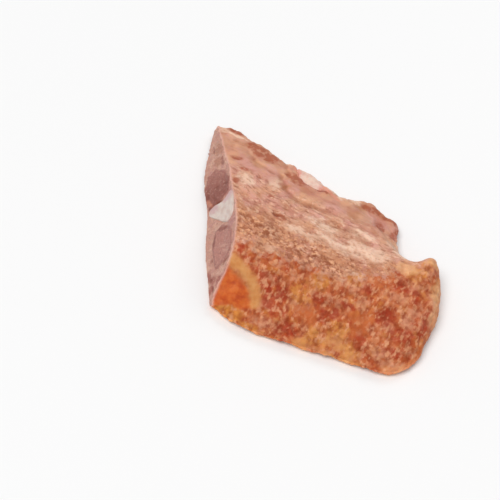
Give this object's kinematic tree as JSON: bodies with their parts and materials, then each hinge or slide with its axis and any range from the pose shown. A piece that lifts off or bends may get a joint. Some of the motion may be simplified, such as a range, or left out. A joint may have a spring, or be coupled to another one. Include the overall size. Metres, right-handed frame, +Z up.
{
  "type": "pork shoulder ribs",
  "caption": "flat slab of smoked pork shoulder ribs with a browned crust, a slanting knife cut showing muscle and gristle, and a pale rib end at the thin edge",
  "frame": {"origin": "middle of the slab's footprint, on the surface it lies on", "axes": "+X along the slab from the knife cut to the rounded end, +Y from the thick front edge to the thin back edge with the rib end, +Z up"},
  "size_m": [0.2178, 0.16, 0.0343],
  "materials": {
    "meat": "roasted and smoked pork, browned and blotchy outside, soft pink-brown muscle in the cut, slightly greasy",
    "gristle": "pale gristle cut across, smooth and damp",
    "rib_gristle": "cream to pink gristle of a rib's end, smooth and damp"
  },
  "bodies": {
    "root": {"meat": "meat", "gristle_plate": "gristle", "rib_end": "rib_gristle"}
  },
  "joints": []
}
